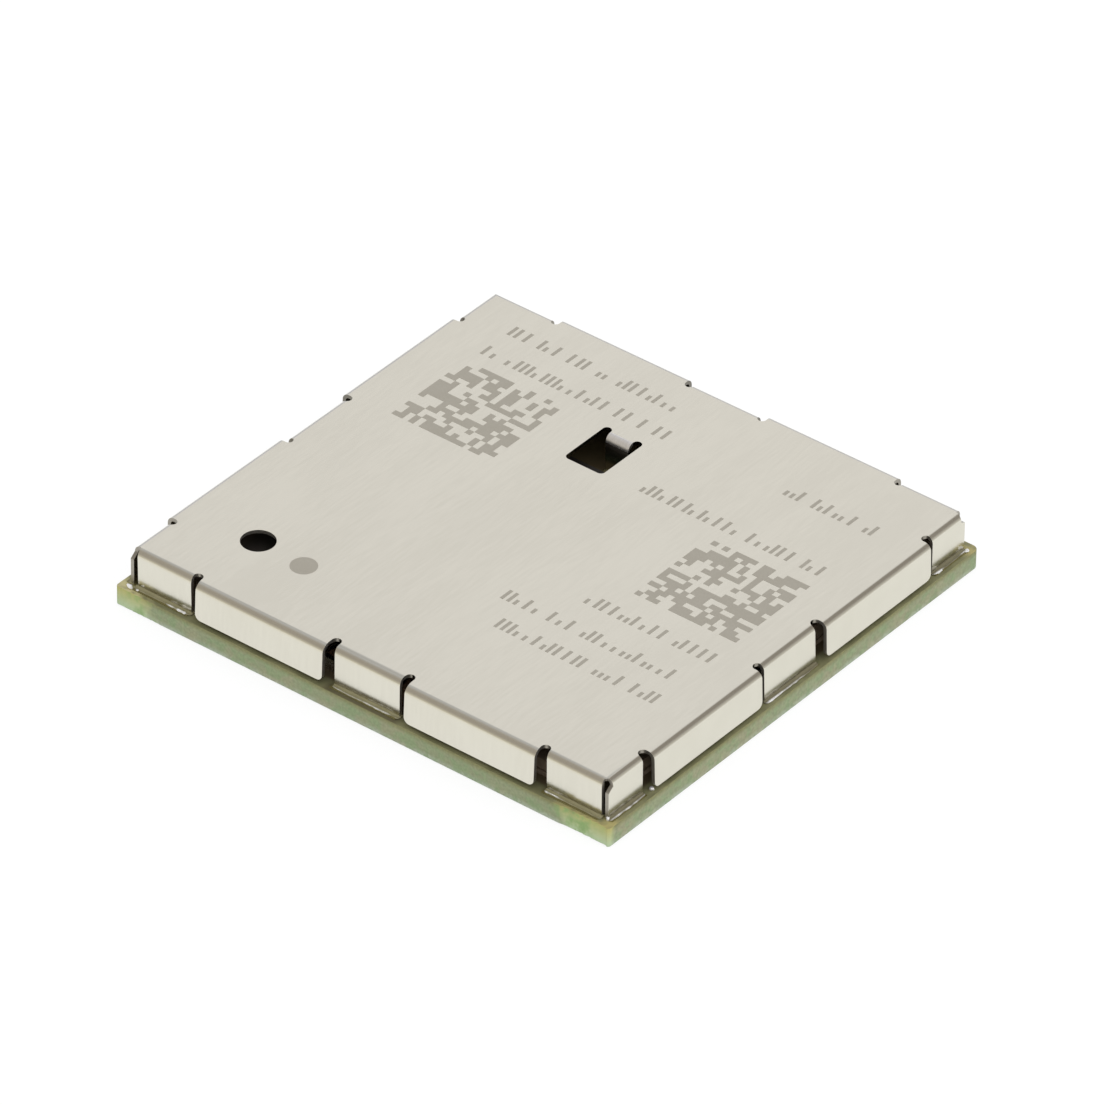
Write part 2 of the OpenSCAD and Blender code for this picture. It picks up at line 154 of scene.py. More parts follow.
# Light tent: a bright wall behind on the left, a dim card in front and one on the right, and pale elsewhere
tent = {
    "wall": (0.926, 0.911, 0.924, 1),
    "over": (0.556, 0.560, 0.587, 1),
    "front": (0.414, 0.378, 0.334, 1),
    "right": (0.298, 0.271, 0.247, 1),
    "pale": (0.800, 0.790, 0.780, 1),
    "lowFront": (0.702, 0.660, 0.569, 1),
    "lowBack": (0.500, 0.510, 0.640, 1),
    "lowRight": (0.680, 0.660, 0.625, 1),
    "softLeft": (0.72, 0.72, 0.70, 1),  # what matt surfaces receive from the two sides
    "softRight": (1.36, 1.36, 1.42, 1),
    # Where along X, Y or Z of the direction each part comes in
    "rightX": (-0.5, 0.2),
    "leftEndX": (-0.14, 0.14),
    "overY": (-0.25, 0.45),
    "wallY": (0.50, 0.60),
    "cardLeftX": (-0.64, -0.76),
    "cardRightX": (-0.34, -0.10),
    "cardY": (0.25, -0.15),
    "nearerX": (0.60, 0.72),
    "nearerY": (0.60, 0.54),
    "furtherX": (0.0, 0.2),
    "furtherY": (0.73, 0.85),
    "paleZ": (0.90, 0.96),
    "lowRightX": (-0.2, 0.3),
    "lowBackY": (-0.2, 0.6),
    "lowZ": (0.55, 0.02),
    "softX": (-1.0, 1.0),
}
white = (1, 1, 1, 1)


def lightTent():
    world = bpy.data.worlds.new("light_tent")
    world.use_nodes = True
    tree = world.node_tree
    tree.nodes.clear()
    path = addNode(tree, "ShaderNodeLightPath").outputs
    axes = splitAxes(tree, addNode(tree, "ShaderNodeTexCoord").outputs["Generated"])

    def comesIn(part):
        return ramp(tree, axes[part[-1]], *tent[part])

    mix = partial(mixColor, tree)
    times = partial(product, tree)
    leftSide = ramp(tree, axes["X"], *tent["leftEndX"], 1.0, 0.0)
    light = mix(comesIn("rightX"), tent["front"], tent["right"])
    light = mix(times(comesIn("overY"), leftSide), light, tent["over"])
    light = mix(times(comesIn("wallY"), leftSide), light, tent["wall"])
    # Pale overhead, and on both sides of the dim cards that the front and right bends mirror
    besideFront = math2(tree, "ADD", comesIn("cardLeftX"), comesIn("cardRightX"))
    besideFront = times(besideFront, comesIn("cardY"))
    nearer = times(comesIn("nearerY"), comesIn("nearerX"))
    further = times(comesIn("furtherY"), comesIn("furtherX"))
    pale = comesIn("paleZ")
    for part in (besideFront, nearer, further):
        pale = math2(tree, "MAXIMUM", pale, part)
    light = mix(pale, light, tent["pale"])
    lowFar = mix(comesIn("lowRightX"), tent["lowBack"], tent["lowRight"])
    low = mix(comesIn("lowBackY"), tent["lowFront"], lowFar)
    light = mix(comesIn("lowZ"), light, low)
    softSide = ramp(tree, axes["X"], *tent["softX"], smooth=False)
    soft = mix(softSide, tent["softLeft"], tent["softRight"])
    light = mix(path["Is Glossy Ray"], soft, light)
    seen = math2(tree, "MAXIMUM", path["Is Camera Ray"], path["Is Transmission Ray"])
    light = mix(seen, light, white)
    shine = addNode(tree, "ShaderNodeBackground", {"Color": light})
    addNode(tree, "ShaderNodeOutputWorld", {"Surface": shine.outputs[0]})
    scene.world = world


paperFloor = {
    "size": 0.8,
    "color": (0.95, 0.95, 0.95, 1),
    "strength": 1.05,
    "show": 0.8,  # share of the plain white that hides its shading
    # Painted shade: the floor that metal mirrors is darker and warmer beside the board's right and front
    "right": (0.965, 0.965, 0.950, 1),  # what metal mirrors of it on the right and in front
    "front": (0.93, 0.91, 0.83, 1),
    "rightX": (11.5 * mm, 13.0 * mm),
    "frontY": (-11.5 * mm, -19.0 * mm),
}


def layFloor():
    bm = bmesh.new()
    bmesh.ops.create_grid(bm, x_segments=1, y_segments=1, size=paperFloor["size"] / 2)
    mesh = bpy.data.meshes.new("floor")
    bm.to_mesh(mesh)
    bm.free()
    floor = bpy.data.objects.new("floor", mesh)
    scene.collection.objects.link(floor)
    paper = bpy.data.materials.new("white_paper")
    paper.use_nodes = True
    tree = paper.node_tree
    tree.nodes.clear()
    path = addNode(tree, "ShaderNodeLightPath").outputs
    seen = math2(tree, "MAXIMUM", path["Is Camera Ray"], path["Is Glossy Ray"])
    seen = math2(tree, "MAXIMUM", seen, path["Is Transmission Ray"])
    shaded = addNode(tree, "ShaderNodeBsdfDiffuse", {"Color": paperFloor["color"]}).outputs[0]
    axes = splitAxes(tree, addNode(tree, "ShaderNodeTexCoord").outputs["Object"])
    # Painted shade, seen only in reflections: darker floor beside the right and front edges
    mirroredShade = mixColor(tree, ramp(tree, axes["X"], *paperFloor["rightX"]), white, paperFloor["right"])
    mirroredShade = mixColor(tree, ramp(tree, axes["Y"], *paperFloor["frontY"]), mirroredShade, paperFloor["front"])
    color = mixColor(tree, path["Is Glossy Ray"], white, mirroredShade)
    plain = addNode(tree, "ShaderNodeEmission", {"Color": color, "Strength": paperFloor["strength"]})
    mixed = mixShaders(tree, product(tree, seen, paperFloor["show"]), shaded, plain.outputs[0])
    # Clear from underneath, so that the lands can be looked at
    under = addNode(tree, "ShaderNodeNewGeometry").outputs["Backfacing"]
    clear = addNode(tree, "ShaderNodeBsdfTransparent").outputs[0]
    addNode(tree, "ShaderNodeOutputMaterial", {"Surface": mixShaders(tree, under, mixed, clear)})
    mesh.materials.append(paper)


lightTent()
layFloor()
scene.view_settings.view_transform = "Standard"
print("light tent and floor made")


# Shared effects
def newGroup(name, values, results):
    # Each group is given a place and some values, and puts out values
    group = bpy.data.node_groups.new(name, "ShaderNodeTree")
    group.interface.new_socket("Vector", in_out="INPUT", socket_type="NodeSocketVector")
    for label, start in values.items():
        socket = group.interface.new_socket(label, in_out="INPUT", socket_type="NodeSocketFloat")
        socket.default_value = start
    for label in results:
        group.interface.new_socket(label, in_out="OUTPUT", socket_type="NodeSocketFloat")
    return group, addNode(group, "NodeGroupInput").outputs, addNode(group, "NodeGroupOutput").inputs


rolling = {
    "lines": 9000.0,
    "lineStretch": 0.12,
    "clouds": 500.0,
    "cloudStretch": 0.35,
    "cloudShare": 0.55,
}


def rolledStreaks():
    # Fine lines left by rolling, running along Y, with a slow cloudiness under them
    values = {"Lines": rolling["lines"], "Clouds": rolling["clouds"]}
    group, given, made = newGroup("rolled_streaks", values, ("Tone", "Height"))

    def stretched(share):
        inputs = {0: given["Vector"], 1: (1.0, share, share)}
        return addNode(group, "ShaderNodeVectorMath", inputs, operation="MULTIPLY").outputs[0]

    lines = noiseTone(group, stretched(rolling["lineStretch"]), given["Lines"], detail=3.0)
    clouds = noiseTone(group, stretched(rolling["cloudStretch"]), given["Clouds"], detail=4.0)
    wire(group, mixValue(group, rolling["cloudShare"], lines, clouds), made["Tone"])
    wire(group, lines, made["Height"])
    return group


def cloudyTone():
    # Two sizes of cloud, for anything cast, moulded or laminated
    values = {"Coarse": 900.0, "Fine": 9000.0}
    group, given, made = newGroup("cloudy_tone", values, ("Cloud", "Grain"))
    wire(group, noiseTone(group, given["Vector"], given["Coarse"], detail=3.0), made["Cloud"])
    wire(group, noiseTone(group, given["Vector"], given["Fine"], detail=2.0), made["Grain"])
    return group


def nearRim():
    # Rises to one with the distance out from the middle; start and end count from the can's outermost faces
    group, given, made = newGroup("near_rim", {"Start": -1.0 * mm, "End": 0.0}, ("Mask",))
    axes = splitAxes(group, given["Vector"])
    pastX = math2(group, "SUBTRACT", math2(group, "ABSOLUTE", axes["X"]), canHigh.x)
    pastY = math2(group, "SUBTRACT", math2(group, "ABSOLUTE", axes["Y"]), canHigh.y)
    past = math2(group, "MAXIMUM", pastX, pastY)
    wire(group, ramp(group, past, given["Start"], given["End"]), made["Mask"])
    return group


streakGroup = rolledStreaks()
cloudGroup = cloudyTone()
rimGroup = nearRim()


def useGroup(tree, group, vector, **values):
    return addNode(tree, "ShaderNodeGroup", dict(values, Vector=vector), node_tree=group).outputs


def newFinish(name, **shader):
    finish = bpy.data.materials.new(name)
    finish.use_nodes = True
    tree = finish.node_tree
    surface = tree.nodes["Principled BSDF"]
    for label, value in shader.items():
        surface.inputs[label.replace("_", " ")].default_value = value
    where = addNode(tree, "ShaderNodeTexCoord").outputs["Object"]
    return finish, tree, surface, where


def addBump(tree, surface, height, strength, distance):
    bump = addNode(tree, "ShaderNodeBump", {"Height": height, "Strength": strength, "Distance": distance})
    wire(tree, bump.outputs["Normal"], surface.inputs["Normal"])


# Finishes
noiseSpan = (0.3, 0.7)  # where most of a noise's values lie
toneSpan = (0.35, 0.65)
fineBump = 0.01 * mm
coarseBump = 0.03 * mm


def setLook(tree, surface, color, rough):
    wire(tree, color, surface.inputs["Base Color"])
    wire(tree, rough, surface.inputs["Roughness"])


def rolledFinish(name, dark, pale, rough, lines, bump):
    finish, tree, surface, where = newFinish(name, Metallic=1.0)
    streaks = useGroup(tree, streakGroup, where, Lines=lines)
    color = mixColor(tree, ramp(tree, streaks["Tone"], *toneSpan), dark, pale)
    setLook(tree, surface, color, ramp(tree, streaks["Tone"], *noiseSpan, *rough))
    addBump(tree, surface, streaks["Height"], bump, fineBump)
    return finish


def cloudedFinish(name, metallic, dark, pale, rough, coarse, fine, bump=0.0,
                  colorBy="Cloud", roughBy="Grain"):
    finish, tree, surface, where = newFinish(name, Metallic=metallic)
    cloud = useGroup(tree, cloudGroup, where, Coarse=coarse, Fine=fine)
    color = mixColor(tree, cloud[colorBy], dark, pale)
    setLook(tree, surface, color, ramp(tree, cloud[roughBy], *noiseSpan, *rough))
    if bump:
        addBump(tree, surface, cloud["Grain"], bump, fineBump)
    return finish


solderLook = {
    "coarse": 2600.0,
    "fine": 12000.0,
    "film": (srgb(128, 122, 86), srgb(148, 142, 106)),
    # Painted shade: the film along the right is darker, against the stronger light on that side
    "shadedFilm": (srgb(106, 101, 74), srgb(126, 120, 92)),  # the film along the right
    "shadedFilmX": (10.96 * mm, 11.05 * mm),
    # Near white and partly matt, so that bare tin shows as painted highlights
    "tin": ((0.80, 0.79, 0.76, 1), (0.97, 0.97, 0.95, 1)),
    "tinSpan": (0.3, 0.6),
    "tinMetallic": 0.4,
    "rough": (0.26, 0.42),
    "bump": 0.2,
}


def solderFinish():
    # Bright tin where the piece's own bare attribute says so, under a brown film of flux elsewhere. The tin
    # is near white and only partly metallic, a painted highlight that shows white glints on the ridges and
    # lumps
    look = solderLook
    finish, tree, surface, where = newFinish("reflowed_solder")
    cloud = useGroup(tree, cloudGroup, where, Coarse=look["coarse"], Fine=look["fine"])
    bare = addNode(tree, "ShaderNodeAttribute", attribute_name="bare").outputs["Fac"]
    film = mixColor(tree, cloud["Cloud"], *look["film"])
    # Painted shade: darker film along the right side
    shadedFilm = mixColor(tree, cloud["Cloud"], *look["shadedFilm"])
    film = mixColor(tree, ramp(tree, splitAxes(tree, where)["X"], *look["shadedFilmX"]), film, shadedFilm)
    tin = mixColor(tree, ramp(tree, cloud["Grain"], *look["tinSpan"]), *look["tin"])
    rough = ramp(tree, cloud["Grain"], *noiseSpan, *look["rough"])
    setLook(tree, surface, mixColor(tree, bare, film, tin), rough)
    wire(tree, mixValue(tree, bare, 0.0, look["tinMetallic"]), surface.inputs["Metallic"])
    addBump(tree, surface, cloud["Cloud"], look["bump"], coarseBump)
    return finish


boardLook = {
    "coarse": 850.0,
    "fine": 2600.0,
    # Cut side: paler and greener low down, as painted light from the floor, and darker olive at the top edge,
    # as painted shade under the flaps
    "low": srgb(166, 176, 154),
    "middle": srgb(142, 149, 116),
    "top": srgb(127, 126, 84),
    "litLowSpan": (0.0, 0.35),
    "topSpan": (0.65, 1.0),
    "warm": srgb(154, 150, 120),
    "warmSpan": (0.40, 0.62),
    "fresh": srgb(130, 152, 110),
    "freshSpan": (0.42, 0.66),
    "patches": 0.6,  # how strong the warm and fresh patches are
    "weave": 9000.0,
    "weaveSpan": (0.25, 0.75),
    "weaveTone": (0.88, 1.12),
    # Raw glass and resin on the break-off scars
    "rawLow": srgb(178, 196, 160),
    "rawTop": srgb(174, 168, 100),
    "leafy": srgb(130, 161, 100),
    "leafySpan": (0.34, 0.66),
    "leafyX": (10.2 * mm, 11.1 * mm),
    "leafyShare": (0.9, 0.3),
    "scarX": (9.2 * mm, 10.4 * mm),
    "scarY": (-10.6 * mm, -10.9 * mm),
    "scarWander": (-0.7 * mm, 0.7 * mm),
    # Bare laminate on top outside the can, yellower at the corners and scars
    "bare": (srgb(116, 115, 82), srgb(136, 134, 98)),
    # Painted light: the resin at the left is lighter, against the dimmer light on that side
    "resin": (srgb(194, 186, 136), srgb(172, 162, 106)),  # at the left and the right
    "resinLitSideX": (-10.5 * mm, 10.5 * mm),
    "resinSpan": (0.2, 0.6),
    "cornerX": (10.4 * mm, 11.2 * mm),
    "cornerY": (9.9 * mm, 10.7 * mm),
    # A darker patch of the top, in front of the front's middle joint
    "darkPatch": srgb(101, 96, 70),  # by the front's middle joint
    "darkPatchX": (1.9 * mm, 1.5 * mm),
    "darkPatchY": (-10.4 * mm, -10.7 * mm),
    "underCan": (srgb(90, 79, 56), srgb(106, 93, 68)),  # stained by flux
    "rim": {"Start": -0.54 * mm, "End": -0.34 * mm},
    "resist": (srgb(62, 80, 48), srgb(80, 98, 60)),  # underneath
    "upSpan": (0.0, 0.5),
    "flatSpan": (0.5, 0.9),
    "rough": (0.62, 0.42),  # of the cut side and the flat faces
    "bump": 0.3,
}


def boardFinish():
    look = boardLook
    finish, tree, surface, where = newFinish("laminate_and_resist", Specular_IOR_Level=0.3)
    mix = partial(mixColor, tree)
    times = partial(product, tree)

    def within(value, span, *results):
        return ramp(tree, value, *look[span], *results)

    axes = splitAxes(tree, where)
    cloud = useGroup(tree, cloudGroup, where, Coarse=look["coarse"], Fine=look["fine"])
    height = ramp(tree, axes["Z"], boardLow.z, boardHigh.z, smooth=False)
    # Painted light low down and painted shade at the top edge of the cut side
    side = mix(within(height, "litLowSpan"), look["low"], look["middle"])
    side = mix(times(within(cloud["Cloud"], "warmSpan"), look["patches"]), side, look["warm"])
    side = mix(times(within(cloud["Grain"], "freshSpan"), look["patches"]), side, look["fresh"])
    side = mix(within(height, "topSpan"), side, look["top"])
    weave = within(noiseTone(tree, where, look["weave"], detail=2.0), "weaveSpan", *look["weaveTone"])
    weave = addNode(tree, "ShaderNodeCombineColor", {0: weave, 1: weave, 2: weave}).outputs[0]
    side = mix(1.0, side, weave, blend="MULTIPLY")
    fromMiddle = math2(tree, "ABSOLUTE", axes["X"])
    ragged = math2(tree, "ADD", fromMiddle, ramp(tree, cloud["Cloud"], *noiseSpan, *look["scarWander"]))
    scarred = times(within(ragged, "scarX"), within(axes["Y"], "scarY"))
    raw = mix(height, look["rawLow"], look["rawTop"])
    leafy = times(within(cloud["Grain"], "leafySpan"), within(fromMiddle, "leafyX", *look["leafyShare"]))
    side = mix(scarred, side, mix(leafy, raw, look["leafy"]))
    bare = mix(ramp(tree, cloud["Cloud"], *toneSpan), *look["bare"])
    corner = times(within(fromMiddle, "cornerX"), within(math2(tree, "ABSOLUTE", axes["Y"]), "cornerY"))
    yellow = times(math2(tree, "MAXIMUM", corner, scarred), within(cloud["Grain"], "resinSpan"))
    # Painted light: lighter resin towards the left
    bare = mix(yellow, bare, mix(within(axes["X"], "resinLitSideX"), *look["resin"]))
    # Darker patch of the top in front of the front's middle joint
    darkPatch = times(within(fromMiddle, "darkPatchX"), within(axes["Y"], "darkPatchY"))
    bare = mix(darkPatch, bare, look["darkPatch"])
    rim = useGroup(tree, rimGroup, where, **look["rim"])["Mask"]
    onTop = mix(rim, mix(cloud["Cloud"], *look["underCan"]), bare)
    resist = mix(cloud["Cloud"], *look["resist"])
    facing = splitAxes(tree, addNode(tree, "ShaderNodeNewGeometry").outputs["Normal"])["Z"]
    faces = mix(within(facing, "upSpan"), resist, onTop)
    flat = within(math2(tree, "ABSOLUTE", facing), "flatSpan")
    setLook(tree, surface, mix(flat, side, faces), mixValue(tree, flat, *look["rough"]))
    addBump(tree, surface, cloud["Grain"], look["bump"], coarseBump)
    return finish


# Painted light: whatever stands close to the can's walls is lightened to a dim brown, lifting the dark inside
# seen through the slits
paintedWallLight = {
    "color": (0.20, 0.150, 0.100, 1),
    "rim": {"Start": -3.0 * mm, "End": -1.2 * mm},
}
package = {
    "grain": {"Coarse": 1400.0, "Fine": 24000.0},
    "grainShare": 0.5,
    "roughSpread": 0.08,
    "bump": 0.2,
}


def bodyFinish(name, dark, pale, rough, withWallLight=False):
    finish, tree, surface, where = newFinish(name)
    cloud = useGroup(tree, cloudGroup, where, **package["grain"])
    tone = mixValue(tree, package["grainShare"], cloud["Cloud"], cloud["Grain"])
    color = mixColor(tree, ramp(tree, tone, *toneSpan), dark, pale)
    if withWallLight:
        # Painted light near the can's walls
        near = useGroup(tree, rimGroup, where, **paintedWallLight["rim"])["Mask"]
        color = mixColor(tree, near, color, paintedWallLight["color"])
    spread = (rough - package["roughSpread"], rough + package["roughSpread"])
    setLook(tree, surface, color, ramp(tree, cloud["Grain"], *noiseSpan, *spread))
    addBump(tree, surface, cloud["Grain"], package["bump"], fineBump)
    return finish


sheetMetal = rolledFinish("nickel_silver_sheet", dark=(0.712, 0.690, 0.599, 1), pale=(0.734, 0.713, 0.621, 1),
                          rough=(0.215, 0.185), lines=rolling["lines"], bump=0.015)
# Rougher, paler sheet on the finger's bend; the paler colour is a painted sheen that brightens the bend
paleBendMetal = rolledFinish("pale_bend_sheet", dark=(0.80, 0.78, 0.74, 1), pale=(0.90, 0.88, 0.85, 1),
                            rough=(0.48, 0.38), lines=14000.0, bump=0.1)
cutMetal = cloudedFinish("sheared_edge", 0.85, dark=(0.30, 0.28, 0.235, 1), pale=(0.42, 0.395, 0.34, 1),
                         rough=(0.28, 0.42), coarse=4000.0, fine=20000.0)
# Window's cut edge: smooth metal that mirrors the dark inside, with a dark colour as painted shade
darkWindowEdge = cloudedFinish("darkened_window_edge", 1.0, dark=(0.16, 0.15, 0.125, 1), pale=(0.24, 0.225, 0.19, 1),
                               rough=(0.16, 0.24), coarse=4000.0, fine=20000.0)
etchedMetal = cloudedFinish("etched_metal", 0.35, dark=(0.38, 0.355, 0.29, 1), pale=(0.46, 0.43, 0.36, 1),
                            rough=(0.5, 0.62), coarse=1500.0, fine=14000.0, colorBy="Grain", roughBy="Cloud")
solder = solderFinish()
laminate = boardFinish()
gold = cloudedFinish("plated_land", 1.0, dark=(0.80, 0.58, 0.25, 1), pale=(0.90, 0.72, 0.38, 1),
                     rough=(0.22, 0.38), coarse=1100.0, fine=16000.0, bump=0.12)
tinned = cloudedFinish("tinned_end", 1.0, dark=(0.55, 0.52, 0.45, 1), pale=(0.74, 0.71, 0.66, 1),
                       rough=(0.2, 0.36), coarse=2500.0, fine=15000.0)
# Gold dulled by flux
stained = cloudedFinish("stained_pad", 0.3, dark=srgb(108, 102, 60), pale=srgb(134, 126, 80),
                        rough=(0.34, 0.5), coarse=2500.0, fine=15000.0)
mould = bodyFinish("black_moulding", (0.018, 0.015, 0.012, 1), (0.034, 0.028, 0.023, 1), 0.55, withWallLight=True)
substrate = bodyFinish("dark_substrate", (0.03, 0.05, 0.028, 1), (0.05, 0.075, 0.04, 1), 0.5, withWallLight=True)
ceramic = bodyFinish("fired_ceramic", (0.30, 0.26, 0.20, 1), (0.42, 0.37, 0.29, 1), 0.5)
ferrite = bodyFinish("grey_ferrite", (0.06, 0.06, 0.065, 1), (0.11, 0.11, 0.12, 1), 0.6)
capacitorBody = bodyFinish("brown_ceramic", (0.16, 0.09, 0.05, 1), (0.24, 0.15, 0.09, 1), 0.45)
glaze = bodyFinish("black_glaze", (0.015, 0.015, 0.016, 1), (0.04, 0.04, 0.042, 1), 0.28)
print("finishes mixed")


def makePiece(bm, name, finishes, replaced=()):
    mesh = bpy.data.meshes.new(name)
    bm.to_mesh(mesh)
    bm.free()
    mesh.shade_smooth()
    for finish in finishes:
        mesh.materials.append(finish)
    piece = bpy.data.objects.new(name, mesh)
    scene.collection.objects.link(piece)
    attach(piece, "root")
    if replaced:
        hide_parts(*replaced)
    return piece


def addModifier(piece, kind, **settings):
    modifier = piece.modifiers.new(kind.lower(), kind)
    for name, value in settings.items():
        setattr(modifier, name, value)


def softenEdges(piece, width, sharp, **settings):
    addModifier(piece, "BEVEL", width=width, segments=2, limit_method="ANGLE", angle_limit=sharp, **settings)


def weld(bm):
    bmesh.ops.remove_doubles(bm, verts=bm.verts[:], dist=1e-7)


def vertsOf(made):
    return [item for item in made["geom"] if isinstance(item, bmesh.types.BMVert)]


def sidePoint(turn, outward, along, z):
    return Matrix.Rotation(turn, 3, "Z") @ Vector((outward, along, z))


def arc(centre, radius, start, end, steps):
    angles = (math.radians(start + (end - start) * k / steps) for k in range(steps + 1))
    return [(centre[0] + radius * math.cos(a), centre[1] + radius * math.sin(a)) for a in angles]


# Marks on the lid: an index dot, fields of etched cells and rows of ticks
marks = {
    "film": 0.004 * mm,
    "dot": 1.05 * mm,
    "dotAt": (-5.52 * mm, -7.42 * mm),
    "cell": 0.26 * mm,
    "fields": (((-9.1, 2.0), 18, 17), ((4.8, -1.1), 18, 17)),
    "tick": 0.14 * mm,
    "tickTall": 0.62 * mm,
    "rows": ((-9.0, 8.7, 8.1), (-9.0, 7.1, 9.0), (1.0, 4.0, 8.4), (5.2, 7.2, 4.4),
             (3.7, -2.7, 5.7), (1.2, -4.4, 8.2), (2.1, -5.9, 7.3)),
    "cellShare": 0.52,
    "tallShare": 0.55,
    "tickSteps": (2, 2, 3, 3, 5),
    "flatness": 0.01,
    "seed": 7,
}

# Shield can: one sheet, cut and folded
can = {
    "sheet": 0.15 * mm,
    "bend": 0.30 * mm,
    "setBack": 0.22 * mm,
    "slit": 0.36 * mm,
    "nearSlit": 0.395 * mm,  # on the front and the right, where the slits were opened a little
    "longSplay": 0.05 * mm,  # how far the long flaps lean out at the foot
    "centreFlap": 3.06 * mm,
    "backOut": 0.055 * mm,  # how far the can stands over towards the back of its pads
    "longFoot": 0.152 * mm,
    "solderedFoot": 0.06 * mm,
    "footCorner": 0.25 * mm,
    "hole": 1.35 * mm,
    "holeAt": (-7.78 * mm, -7.295 * mm),
    "windowLeft": -2.45 * mm,
    "windowRight": -0.66 * mm,
    "windowFront": 3.92 * mm,
    "windowBack": 6.45 * mm,
    "windowCorner": 0.20 * mm,
    "finger": 1.06 * mm,
    "fingerRoot": 0.20 * mm,
    "joined": math.radians(15),  # turn of the bend up to which the flaps of the near corner are joined
    "parting": math.radians(8),  # and over which they then part
    "creaseTurn": (0.12, 0.70),  # turn of the bend where a crease is deepest and where it ends, in radians
    "paleBendSlot": 2,  # of the can's finishes, each followed by that of its cut edge
    "windowSlot": 4,
    "bendSteps": 24,
    "runSteps": 6,
    "tipSteps": 10,
    "cornerSteps": 6,
    "softEdge": 0.03 * mm,
    "sharp": math.radians(40),
}
topZ = canHigh.z - marks["film"]
lidX = canHigh.x - can["setBack"] - can["bend"]
lidY = canHigh.y - can["setBack"] - can["bend"]
quarterBend = can["bend"] * math.pi / 2
legHeight = topZ - can["bend"] - boardHigh.z
rightShape = {
    "corner": 1.76 * mm,  # length of the corner flaps
    "slit": can["nearSlit"],
    "slide": -0.015 * mm,  # how far along its side each slit stands off its place
    "lag": 0.0,  # how far the tips of the slits stay behind
    "reach": (0.04 * mm, 0.04 * mm),  # of the corner slits and of the centre slits
    "out": 0.0,
    "splay": (0.01 * mm, 0.055 * mm),  # how far the corner and centre flaps lean out at the foot
    # How far the two corner flaps run past the lid's corners below their bend, and how far that slants down
    "run": (0.24 * mm, 0.16 * mm),
    "fall": (0.20 * mm, 0.11 * mm),
    # How far they stand past those corners once bent, how late in the bend, and how long joined
    "grow": ((-0.02 * mm, 1, can["joined"]), (-0.06 * mm, 1, 0.0)),
    "crease": (0.0,) * 5,  # pressed along the bend line of each flap
}
leftShape = dict(rightShape, slit=can["slit"], slide=0.0, splay=(0.0, 0.02 * mm),
                 run=(0.24 * mm, 0.24 * mm), fall=(0.20 * mm, 0.20 * mm),
                 grow=((0.30 * mm, 1, 0.0), (0.0, 1, 0.0)))
backShape = dict(leftShape, corner=2.56 * mm, out=can["backOut"], run=(0.0, 0.0),
                 grow=((-0.04 * mm, 1, 0.0), (0.30 * mm, 1, 0.0)))
frontShape = dict(backShape, slit=can["nearSlit"], slide=0.08 * mm, lag=0.05 * mm, out=0.0,
                  reach=(0.13 * mm, 0.30 * mm), splay=(-0.02 * mm, 0.005 * mm),
                  grow=((-0.08 * mm, 1, 0.0), (0.03 * mm, 3, can["joined"])),
                  crease=(0.0, 0.005 * mm, 0.011 * mm, 0.002 * mm, 0.0))
# Turn, lid edge, half length and shape of each side
canSides = (
    (0.0, lidX, lidY, rightShape),
    (math.pi / 2, lidY, lidX, backShape),
    (math.pi, lidX, lidY, leftShape),
    (math.pi * 1.5, lidY, lidX, frontShape),
)


def foldPoint(run, length, splay, crease):
    # How far out and down a length of sheet reaches: flat, round the bend, then down and a little out
    if length <= run:
        return length, 0.0
    angle = (length - run) / can["bend"]
    if angle <= math.pi / 2:
        deepest, last = can["creaseTurn"]
        pressed = crease * max(0.0, min(angle / deepest, (last - angle) / (last - deepest)))
        return run + can["bend"] * math.sin(angle), -can["bend"] * (1 - math.cos(angle)) - pressed
    leg = length - run - quarterBend
    return run + can["bend"] + splay * leg / legHeight, -can["bend"] - leg


def slitMiddles(half, shape):
    inner = (can["centreFlap"] + can["slit"]) / 2
    outer = half - shape["corner"] - can["slit"] / 2
    return [shape["slide"] + along for along in (-outer, -inner, inner, outer)]


def flapEnds(half, shape):
    # Start and end of each of a side's five flaps
    cuts = [middle + sign * shape["slit"] / 2 for middle in slitMiddles(half, shape) for sign in (-1, 1)]
    ends = [-half] + cuts + [half]
    return list(zip(ends[::2], ends[1::2]))


def slitFlare(slitR, reach, lag, length):
    # A shallow slit ends in part of a circle, which widens the flap beside it at its root; its tip may lag
    flare = lag * (1 + math.cos(math.pi * min(1.0, length / quarterBend))) / 2
    offset = slitR - reach
    if length < offset:
        flare += slitR - math.sqrt(slitR ** 2 - (offset - length) ** 2)
    return flare


def cornerGrowth(grow, late, joined, length):
    # Two ends that both grow by the bend's radius meet in a mitre, as those that start the bend joined do
    angle = min(math.pi / 2, length / can["bend"])
    alone = grow * math.sin(angle) ** late
    if not joined:
        return alone
    mitre = can["bend"] * math.sin(min(angle, joined))
    share = min(1.0, max(0.0, 1 - (angle - joined) / can["parting"]))
    return alone + (mitre - alone) * share


def foldFlap(bm, root, turn, lidEdge, span, widen, run, footZ, splay=0.0, crease=0.0):
    # Each of the two widen functions says how far its end of the flap stands out after a length of sheet
    lengths = [run * (k + 1) / can["runSteps"] for k in range(can["runSteps"])] if run else []
    lengths += [run + quarterBend * (k + 1) / can["bendSteps"] for k in range(can["bendSteps"])]
    lengths.append(run + quarterBend + topZ - can["bend"] - footZ)
    ring = root
    for length in lengths:
        before = ring
        fresh = vertsOf(bmesh.ops.extrude_edge_only(bm, edges=[bm.edges.get(before)]))
        if not bm.edges.get((fresh[0], before[0])):
            fresh.reverse()
        out, down = foldPoint(run, length, splay, crease)
        for vert, along, wider, sign in zip(fresh, span, widen, (-1, 1)):
            vert.co = sidePoint(turn, lidEdge + out, along + sign * wider(length), topZ + down)
        ring = tuple(fresh)
    return before, ring


